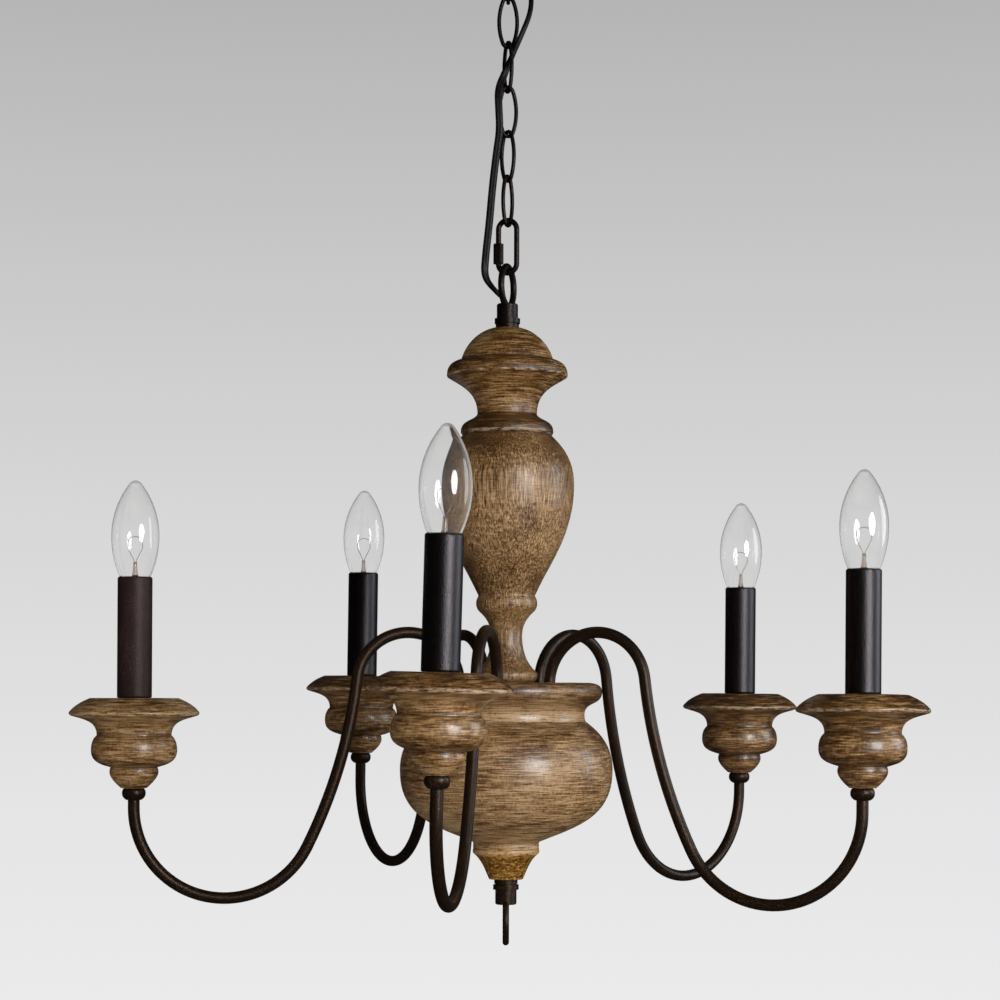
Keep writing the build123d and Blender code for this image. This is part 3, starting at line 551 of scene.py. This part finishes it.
def lathe_tree():
    """Node tree that spins an outline about the Z axis and dents it a little."""
    tree, given = open_tree("lathe", Outline="Geometry", Segments="Int", Rows="Int", Dent_depth="Float",
                            Dent_scale="Float", Seed="Float", Finish="Material")
    grid = add(tree, "GeometryNodeMeshGrid", {"Size X": 1.0, "Size Y": 1.0})
    feed(tree, grid, "Vertices X", math_node(tree, "ADD", given["Segments"], 1.0))
    feed(tree, grid, "Vertices Y", given["Rows"])
    flat = add(tree, "ShaderNodeSeparateXYZ", {0: grid.outputs["UV Map"]}).outputs
    outline = add(tree, "GeometryNodeSampleCurve", mode="FACTOR", use_all_curves=True)
    feed(tree, outline, "Curves", given["Outline"])
    feed(tree, outline, "Factor", math_node(tree, "SUBTRACT", 1.0, flat["Y"]))
    cut = add(tree, "ShaderNodeSeparateXYZ", {0: outline.outputs["Position"]}).outputs
    turn = math_node(tree, "MULTIPLY", flat["X"], math.tau)
    place = add(tree, "ShaderNodeCombineXYZ", {
        "X": math_node(tree, "MULTIPLY", cut["X"], math_node(tree, "COSINE", turn)),
        "Y": math_node(tree, "MULTIPLY", cut["X"], math_node(tree, "SINE", turn)),
        "Z": cut["Z"],
    })
    spun = add(tree, "GeometryNodeSetPosition", {"Geometry": grid.outputs["Mesh"]})
    feed(tree, spun, "Position", place.outputs[0])
    closed = add(tree, "GeometryNodeMergeByDistance", {"Geometry": spun.outputs[0], "Distance": 1e-6})
    dents = add(tree, "ShaderNodeTexNoise", noise_dimensions="4D")
    for name, value in (("W", given["Seed"]), ("Scale", given["Dent_scale"]), ("Detail", 3.0)):
        feed(tree, dents, name, value)
    depth = math_node(tree, "SUBTRACT", dents.outputs["Fac"], LEVEL)
    depth = math_node(tree, "MULTIPLY", depth, given["Dent_depth"])
    outwards = add(tree, "GeometryNodeInputNormal").outputs[0]
    press = add(tree, "ShaderNodeVectorMath", {0: outwards}, operation="SCALE")
    feed(tree, press, "Scale", depth)
    dented = add(tree, "GeometryNodeSetPosition", {"Geometry": closed.outputs[0]})
    feed(tree, dented, "Offset", press.outputs[0])
    return close_tree(tree, dented.outputs[0], given["Finish"])


lathe = lathe_tree()
print("lathe tree", len(lathe.nodes), "nodes")

# %% [markdown]
# ## From a tree to a piece
# A tree on a curve is only a recipe. The piece that the scene keeps is the plain mesh that the recipe
# gives, moved into its place, so each piece is baked once and its recipe goes.


# %% Baking, standing and wear
def set_inputs(modifier, **values):
    """Sets a node modifier's inputs by the identifiers of their sockets."""
    for item in modifier.node_group.interface.items_tree:
        key = item.name.lower()
        if item.in_out == "INPUT" and key in values:
            modifier[item.identifier] = values[key]


def bake(holder, name):
    """The evaluated result of a holder's modifiers as a plain mesh object. The holder goes."""
    bpy.context.view_layer.update()
    graph = bpy.context.evaluated_depsgraph_get()
    mesh = bpy.data.meshes.new_from_object(holder.evaluated_get(graph), depsgraph=graph)
    holder.modifiers.clear()
    bpy.data.objects.remove(holder)
    mesh.name = name
    piece = bpy.data.objects.new(name, mesh)
    bpy.context.scene.collection.objects.link(piece)
    return piece


def spin(name, outline, finish, segments=150, rows=360, dent=0.0, dent_scale=55.0, seed=0.0):
    """Turns an outline into a mesh piece about the upright axis through the origin."""
    holder = outline.curve(name + "_outline")
    modifier = holder.modifiers.new("lathe", "NODES")
    modifier.node_group = lathe
    set_inputs(modifier, segments=segments, rows=rows, dent_depth=dent, dent_scale=dent_scale, seed=seed,
               finish=finish)
    return bake(holder, name)


def stand(piece, top, lean=(0, 0, 1)):
    """Moves a piece's mesh so that its origin is at top and its axis points along lean."""
    turn = Vector((0, 0, 1)).rotation_difference(Vector(lean)).to_matrix().to_4x4()
    piece.data.transform(Matrix.Translation(top) @ turn)
    return piece


EDGE_BEND = 0.35  # bend of a sharp edge, for each millimetre along the outline


def mark_wear_and_light(piece, stain_sheen_stops):
    """Stores marks of a turned piece: its sharp edges, for rubbed wear and painted glints, its hollows,
    for painted shade, and bands of stain and painted sheen down the piece.

    The stops list depths below the top, in millimetres, with the stain and painted sheen there.
    """
    mesh = piece.data
    place = np.array([v.co for v in mesh.vertices])
    normal = np.array([v.normal for v in mesh.vertices])
    ends = np.array([e.vertices[:] for e in mesh.edges])
    flat = np.stack([np.hypot(place[:, 0], place[:, 1]), place[:, 2]], 1)
    step = place[ends[:, 1]] - place[ends[:, 0]]
    down = np.linalg.norm(flat[ends[:, 1]] - flat[ends[:, 0]], axis=1) > 0.5 * np.linalg.norm(step, axis=1)
    start, end, step = ends[down, 0], ends[down, 1], step[down]
    bend = np.zeros(len(place))
    reach = np.full(len(place), 1e-12)
    for here, sign in ((start, 1), (end, -1)):
        np.add.at(bend, here, -sign * np.einsum("ij,ij->i", step, normal[here]))
        np.add.at(reach, here, np.einsum("ij,ij->i", step, step) / 2)

    def smooth(values, passes):
        for _ in range(passes):
            total, count = values.copy(), np.ones(len(place))
            for here, other in ((start, end), (end, start)):
                np.add.at(total, here, values[other])
                np.add.at(count, here, 1)
            values = total / count
        return values

    sharp = np.clip(bend / reach * MM / EDGE_BEND, -1.5, 1.5)
    depths, stain_sheen_values = zip(*stain_sheen_stops)
    marks = {
        "edge": smooth(np.maximum(sharp, 0), passes=2),
        "hollow": smooth(np.maximum(-sharp, 0), passes=8),
        "stain_and_sheen": np.interp(-place[:, 2] / MM, depths, stain_sheen_values),
    }
    for name, values in marks.items():
        mesh.attributes.new(name, "FLOAT", "POINT").data.foreach_set("value", values.astype(np.float32))
    return piece


# %% [markdown]
# ## Column, bowl and finial
# Five turnings sit on one threaded rod. Each outline starts at its upper edge, goes down the outside,
# and comes back through the bore, so every piece is a closed solid.

# %% Column outlines
BORE = 5.3

cap = Outline(12.6, 0).arc(34.6, -24.0, 4.2).line(36.6, -24.0)
cap.sweep(45.0, -34.2, (1, -0.3), (0, -1)).arc(44.55, -36.0, 0.36)
cap.sweep(22.2, -64.0, (-1, -0.62), (0, -1)).sweep(34.5, -76.6, (0.55, -1), (0, -1))
cap.arc(33.0, -79.6, 0.6).line(BORE, -79.6).line(BORE, 0)

vase = Outline(33.0, 0).sweep(50.1, -36.5, (0.72, -0.7), (0, -1)).sweep(21.0, -119.8, (0, -1), (-0.45, -1))
vase.arc(21.0, -130.8, 1.8).sweep(11.7, -149.6, (-1, -0.9), (0, -1))
vase.sweep(23.0, -177.0, (0, -1), (0.9, -0.75)).arc(19.5, -184.3, 1.83)
vase.line(BORE, -184.3).line(BORE, 0)

lid = Outline(62.0, 0).sweep(71.3, -7.0, (1, -0.12), (0, -1)).sweep(64.5, -15.5, (0, -1), (-0.67, -0.33))
lid.sweep(58.2, -24.0, (-0.67, -0.33), (0, -1)).arc(59.0, -28.7, -0.2)
lid.line(45.0, -28.7).line(45.0, -13.0).line(BORE, -13.0).line(BORE, 0)

belly = Outline(59.0, 0).sweep(79.1, -36.6, (1, -0.75), (0, -1)).sweep(24.5, -89.6, (0, -1), (-1, -0.42))
belly.line(24.5, -94.8).line(BORE, -94.8).line(BORE, -64.8)
belly.line(31.0, -64.8).arc(45.0, -50.8, -4.1).line(45.0, 0)

drop = Outline(24.5, 0).arc(23.9, -3.6, 0.6).sweep(12.6, -22.4, (-1, -0.75), (-0.45, -1))
drop.line(BORE, -22.4).line(BORE, 0)
print("column outlines", [len(outline.knots) for outline in (cap, vase, lid, belly, drop)], "knots")

# %% Column pieces
WOOD_DENT = 0.5 * MM


def turn_wood(name, node, outline, finish, seed, stain_sheen_stops, top, lean=(0, 0, 1)):
    """Spins a wooden piece, stands it in the CAD node's place and puts it over the node."""
    piece = mark_wear_and_light(spin(name, outline, finish, dent=WOOD_DENT, seed=seed), stain_sheen_stops)
    stand(piece, top, lean)
    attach(piece, "fixture")
    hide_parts(node)
    made = [round(d / MM, 1) for d in piece.dimensions]
    asked = [round((high - low) / MM, 1) for low, high in zip(*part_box(node))]
    print(name, "mesh", made, "CAD", asked, "points", len(piece.data.vertices))


# Stain down each piece, darker where a stop is above zero; below zero it is lighter with painted sheen and
# highlight.
CAP_STAIN_SHEEN = [(0, 0.0), (22, 0.0), (26, 0.6), (35, 0.6), (40, 0.0), (60, -0.1), (68, 1.2)]
URN_STAIN_SHEEN = [(0, 0.8), (25, 0.2), (50, -0.2), (80, -0.1), (110, 0.5), (146, 0.0), (170, 0.4)]
LID_STAIN_SHEEN = [(0, 0.5), (10, 0.4), (22, -0.8)]
BOWL_STAIN_SHEEN = [(0, 0.0), (35, -0.1), (80, -0.6), (95, -0.3)]
FINIAL_STAIN_SHEEN = [(0, -0.8), (4, -0.7), (6, 0.3), (22, 0.2)]
COLUMN = [
    ("turned_cap", "column_cap", cap, wood_cap, CAP_STAIN_SHEEN),
    ("turned_urn", "urn", vase, wood_upright, URN_STAIN_SHEEN),
    ("turned_lid", "bowl_lid", lid, wood_round, LID_STAIN_SHEEN),
    ("turned_bowl", "bowl", belly, wood_round, BOWL_STAIN_SHEEN),
    ("turned_finial", "finial", drop, wood_end, FINIAL_STAIN_SHEEN),
]
for seed, (name, node, outline, finish, stain_sheen_stops) in enumerate(COLUMN):
    turn_wood(name, node, outline, finish, float(seed), stain_sheen_stops, (0.0, 0.0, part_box(node)[1][2]))

# %% [markdown]
# ## Cups, sleeves and bulbs
# Each arm ends in the same group: a turned cup, a dark sleeve that stands on it, and a candle bulb with
# its stem, support wires and filament. The arms were bent by hand, so no two groups stand quite alike:
# each takes its place from the middle of the CAD sleeve and its lean from the line along which the
# bulb comes out.

# %% Light outlines
cup_cut = Outline(31.5, 0).sweep(46.8, -10.4, (1, -0.4), (0.75, -1)).arc(45.6, -12.6, 0.37)
cup_cut.sweep(26.8, -27.0, (-1, -0.35), (0, -1)).sweep(30.8, -37.6, (0.9, -0.7), (0, -1))
cup_cut.sweep(16.8, -50.0, (0, -1), (-1, -0.3)).arc(16.8, -56.3, 0.75)
cup_cut.sweep(9.2, -65.0, (-0.5, -1), (-0.9, -0.8)).line(4.55, -65.0).line(4.55, 0)

# Stain and painted sheen down each cup, by depth below its top
CUP_DEPTHS = [0, 10, 16, 26, 38, 49, 56, 65]
CUP_STAIN_SHEEN = [0.9, 0.8, 0.2, 0.5, 0.2, 0.8, 0.2, 0.4]
RIM_STAIN_SHEEN = {1: -0.25, 2: -0.4, 5: -1.1}  # stain and painted sheen of single cups against that, on the rim
BODY_STAIN_SHEEN = {1: -0.5, 2: 0.1, 5: -0.6}  # and on the body
RIM_STOPS = 2

bead_cut = Outline(6.9, 0).sweep(8.5, -3.6, (0.7, -0.4), (0, -1)).sweep(5.4, -8.5, (0, -1), (-0.8, -0.5))
bead_cut.line(4.3, -8.5).line(4.3, 0)

sleeve_cut = Outline(11.8, 0).line(12.2, 0).arc(12.5, -0.4, 0.1).line(12.5, -87.1).arc(12.2, -87.5, 0.1)
sleeve_cut.line(11.5, -87.5).line(11.5, -0.4)

glass_cut = Outline(0, 0).arc(4.5, -2.6, 0.7).arc(17.2, -40.5, 3.26).arc(8.6, -75.0, 2.18)
glass_cut.line(6.1, -75.0).line(6.1, -74.2).line(7.8, -74.2)
glass_cut.arc(16.4, -40.5, -2.18).arc(4.1, -3.4, -3.15).arc(0, -0.8, -0.7)

stem_cut = Outline(0, -59.0).arc(1.5, -60.2, 0.4).sweep(3.6, -75.0, (0, -1), (0.3, -1)).line(0, -75.0)
light_cuts = (cup_cut, bead_cut, sleeve_cut, glass_cut, stem_cut)
print("light outlines", [len(outline.knots) for outline in light_cuts], "knots")


# %% Filament wires
def wire_tree():
    """Node tree that lays a round wire along every line of a curve."""
    tree, given = open_tree("wire", Line="Geometry", Radius="Float", Finish="Material")
    section = add(tree, "GeometryNodeCurvePrimitiveCircle", {"Resolution": 8, "Radius": given["Radius"]})
    drawn = add(tree, "GeometryNodeCurveToMesh", {"Curve": given["Line"], "Fill Caps": True})
    feed(tree, drawn, "Profile Curve", section.outputs["Curve"])
    return close_tree(tree, drawn.outputs[0], given["Finish"])


wire = wire_tree()
WIRE_R = 0.22 * MM
SUPPORT = [(0.5, -61.0), (0.9, -58.0), (5.4, -49.0), (5.0, -43.0)]
GLOW_WIRE = [(-5.0, -43.0), (-2.5, -41.2), (0.0, -40.6), (2.5, -41.2), (5.0, -43.0)]
WIRES = [SUPPORT, [(-x, z) for x, z in SUPPORT], GLOW_WIRE]
print("wire tree", len(wire.nodes), "nodes")


def filament_wires(name):
    """Two bent support wires and the filament between them, below the tip of the bulb."""
    data = bpy.data.curves.new(name, "CURVE")
    data.dimensions = "3D"
    for line in WIRES:
        spline = data.splines.new("POLY")
        spline.points.add(len(line) - 1)
        for knot, (x, z) in zip(spline.points, line):
            knot.co = (x * MM, 0.0, z * MM, 1.0)
    holder = bpy.data.objects.new(name, data)
    bpy.context.scene.collection.objects.link(holder)
    modifier = holder.modifiers.new("wire", "NODES")
    modifier.node_group = wire
    set_inputs(modifier, radius=WIRE_R, finish=wire_steel)
    return bake(holder, name)


# %% Lights
CUP_TALL = 65.0 * MM
SLEEVE_HALF = 43.75 * MM
BULB_SHOW = 70.0 * MM  # height of the bulb above its sleeve
DUSTY = 5  # the light whose sleeve is dusty
hinges = {joint["child"]: joint for joint in frame["joints"]}


def put(piece, top, lean, body, node):
    """Stands a piece in its place, on its body and over its CAD node."""
    stand(piece, top, lean)
    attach(piece, body)
    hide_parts(node)


for i in LIGHTS:
    low, high = (Vector(corner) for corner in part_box(f"candle_sleeve_{i}"))
    middle = (low + high) / 2
    lean = Vector(hinges[f"bulb_{i}"]["axis"]).normalized()
    cup_top, sleeve_top = middle - lean * SLEEVE_HALF, middle + lean * SLEEVE_HALF
    tip = sleeve_top + lean * BULB_SHOW
    body_stops = len(CUP_DEPTHS) - RIM_STOPS
    extra = [RIM_STAIN_SHEEN.get(i, 0.0)] * RIM_STOPS + [BODY_STAIN_SHEEN.get(i, 0.0)] * body_stops
    stain_sheen_stops = [(depth, stain_and_light + more) for depth, stain_and_light, more in zip(CUP_DEPTHS, CUP_STAIN_SHEEN, extra)]
    turn_wood(f"turned_cup_{i}", f"cup_{i}", cup_cut, wood_cup, 10.0 + i, stain_sheen_stops, cup_top, lean)
    bead = spin(f"bead_{i}", bead_cut, bronze, segments=48, rows=80)
    put(bead, cup_top - lean * CUP_TALL, lean, "fixture", "seat_beads")
    sleeve_finish = sleeve_dusty if i == DUSTY else sleeve_black
    sleeve = spin(f"sleeve_{i}", sleeve_cut, sleeve_finish, segments=96, rows=120)
    put(sleeve, sleeve_top, lean, "fixture", f"candle_sleeve_{i}")
    bulb = spin(f"glass_{i}", glass_cut, glass, segments=96, rows=200)
    put(bulb, tip, lean, f"bulb_{i}", f"bulb_glass_{i}")
    stem = spin(f"stem_{i}", stem_cut, stem_glass, segments=32, rows=60)
    put(stem, tip, lean, f"bulb_{i}", f"bulb_filament_{i}")
    put(filament_wires(f"filament_{i}"), tip, lean, f"bulb_{i}", f"bulb_filament_{i}")
    print("light", i, "lean", [round(c, 4) for c in lean])

# %% [markdown]
# ## The lead
# A flat two-core flex leaves the canopy loop, runs beside the second link, dives through the third and
# goes down the left side of the chain into the top loop. Its line is one smooth spline through the
# route of the CAD lead. The lead bends where the chain bends, so the tube is cut half-way down each
# link.

# %% Line of the lead
LOOP_Z = -39.0  # face of the canopy loop
LINK_Z = -81.2  # middle of the first link
PITCH = 33.5  # from one link to the next
TOP_Z = -326.0  # face of the top loop
BESIDE = [
    (17.5, 9.0, 0.24), (17.0, 0.0, 0.76), (10.5, -5.0, 1.28), (3.6, -0.6, 1.71), (-2.6, 1.0, 2.14),
    (-7.4, -5.9, 2.54), (-6.8, -8.0, 2.97), (-5.9, -6.3, 3.46), (-8.6, -4.0, 3.98), (-11.5, -3.5, 4.74),
    (-13.6, -2.5, 5.50),
]  # height counted in links
ROUTE = [(0.0, 0.0, LOOP_Z + 9.0), (0.0, 0.0, LOOP_Z - 3.0), (3.0, 10.0, LOOP_Z - 12.0),
         (10.0, 14.0, LOOP_Z - 27.0)]
ROUTE += [(x, y, LINK_Z - links * PITCH) for x, y, links in BESIDE]
ROUTE += [(-16.6, -1.5, TOP_Z + 34.0), (-17.3, -1.0, TOP_Z + 20.0), (-10.0, -0.5, TOP_Z + 10.5),
          (0.0, 0.0, TOP_Z + 2.0), (0.0, 0.0, TOP_Z - 8.0)]


def spline_points(name, points, per_span):
    """Points along a NURBS spline that has these points, in millimetres, as its control points."""
    line = bpy.data.curves.new(name, "CURVE")
    line.dimensions = "3D"
    line.resolution_u = per_span
    spline = line.splines.new("NURBS")
    spline.points.add(len(points) - 1)
    for knot, point in zip(spline.points, points):
        knot.co = (*(c * MM for c in point), 1.0)
    spline.order_u = 3
    spline.use_endpoint_u = True
    carrier = bpy.data.objects.new(name, line)
    bpy.context.scene.collection.objects.link(carrier)
    mesh = bpy.data.meshes.new_from_object(carrier)
    found = np.array([v.co for v in mesh.vertices])
    bpy.data.objects.remove(carrier)
    bpy.data.meshes.remove(mesh)
    return found


lead_line = spline_points("lead_line", ROUTE, 12)
steps = np.linalg.norm(np.diff(lead_line, axis=0), axis=1)
lead_reach = np.concatenate([[0.0], np.cumsum(steps)])
print("lead points", len(lead_line), "length", round(lead_reach[-1], 4))

# %% Jacket and section of the lead
CORE_R = 1.9 * MM  # radius of each core's jacket
CORE_OFF = 0.95 * MM  # each core's distance from the middle
SIDES = 12
FLAT_FROM = (0.36, 0.47)  # shares of the length where the flat side turns to the front
FLAT_TO = (0.85, 0.95)  # and away again
PINCH_AT = (0.07, 0.15, 0.90, 0.96)  # shares of the length where the loops begin and end to pinch it
PINCH = (0.78, 1.0, 1.0, 0.78)

lead_finish, tree, surface = new_finish("lead_jacket")
surface.inputs["Roughness"].default_value = 0.5
surface.inputs["Specular IOR Level"].default_value = 0.25
place = add(tree, "ShaderNodeTexCoord").outputs["Object"]
cloud = noise(tree, place, 160.0, 3.0, 0.5)
jacket = ramp(tree, cloud, (0.35, (0.0015, 0.0012, 0.0012)), (0.7, (0.006, 0.005, 0.0048)))
feed(tree, surface, "Base Color", jacket)


def ease(value, start, end):
    """0 before start, 1 after end, and smooth between them."""
    t = np.clip((value - start) / (end - start), 0.0, 1.0)
    return t * t * (3 - 2 * t)


def flex_section():
    """Outline of a two-core flex, wide along its first axis: two round jackets side by side."""
    waist = math.acos(CORE_OFF / CORE_R)
    sweep = np.linspace(-math.pi + waist, math.pi - waist, SIDES)
    right = np.stack([CORE_OFF + CORE_R * np.cos(sweep), CORE_R * np.sin(sweep)], 1)
    left = -right
    return np.concatenate([right[:-1], left[:-1]])


print("lead section", len(flex_section()), "points")


# %% Lengths of the lead
def lead_length(name, first, last):
    """Mesh tube of the flex between two places of the line.

    It shows its flat only beside the lower chain, and is pinched where it enters the two loops.
    """
    line = lead_line[first:last + 1]
    along = np.gradient(lead_line, axis=0)[first:last + 1]
    along /= np.linalg.norm(along, axis=1)[:, None]
    share = lead_reach[first:last + 1] / lead_reach[-1]
    turn = math.pi / 2 * (1 - ease(share, *FLAT_FROM) * (1 - ease(share, *FLAT_TO)))
    side = np.cross(along, (0.0, 1.0, 0.0))
    side /= np.linalg.norm(side, axis=1)[:, None]
    depth = np.cross(side, along)
    wide = side * np.cos(turn)[:, None] + depth * np.sin(turn)[:, None]
    thin = np.cross(along, wide)
    wide *= np.interp(share, PINCH_AT, PINCH)[:, None]
    section = flex_section()
    count = len(section)
    rings = line[:, None] + section[None, :, :1] * wide[:, None] + section[None, :, 1:] * thin[:, None]
    faces = []
    for i in range(len(line) - 1):
        for j in range(count):
            k = (j + 1) % count
            faces.append((i * count + j, i * count + k, (i + 1) * count + k, (i + 1) * count + j))
    last_ring = (len(line) - 1) * count
    faces.append(tuple(range(count))[::-1])
    faces.append(tuple(range(last_ring, last_ring + count)))
    mesh = bpy.data.meshes.new(name)
    mesh.from_pydata(rings.reshape(-1, 3).tolist(), [], faces)
    mesh.shade_smooth()
    for edge in mesh.edges:
        edge.use_edge_sharp = max(edge.vertices) < count or min(edge.vertices) >= last_ring
    mesh.materials.append(lead_finish)
    piece = bpy.data.objects.new(name, mesh)
    bpy.context.scene.collection.objects.link(piece)
    return piece, line


HANGERS = [f"chain_link_{i}" for i in range(1, 7)] + ["quick_link"]
cuts = [0]
for node in HANGERS:
    low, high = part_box(node)
    cuts.append(int(np.argmin(np.abs(lead_line[:, 2] - (low[2] + high[2]) / 2))))
cuts.append(len(lead_line) - 1)
for i, (first, last) in enumerate(zip(cuts, cuts[1:])):
    piece, line = lead_length(f"lead_{i + 1}", first, last)
    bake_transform(piece)
    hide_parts("supply_cord")
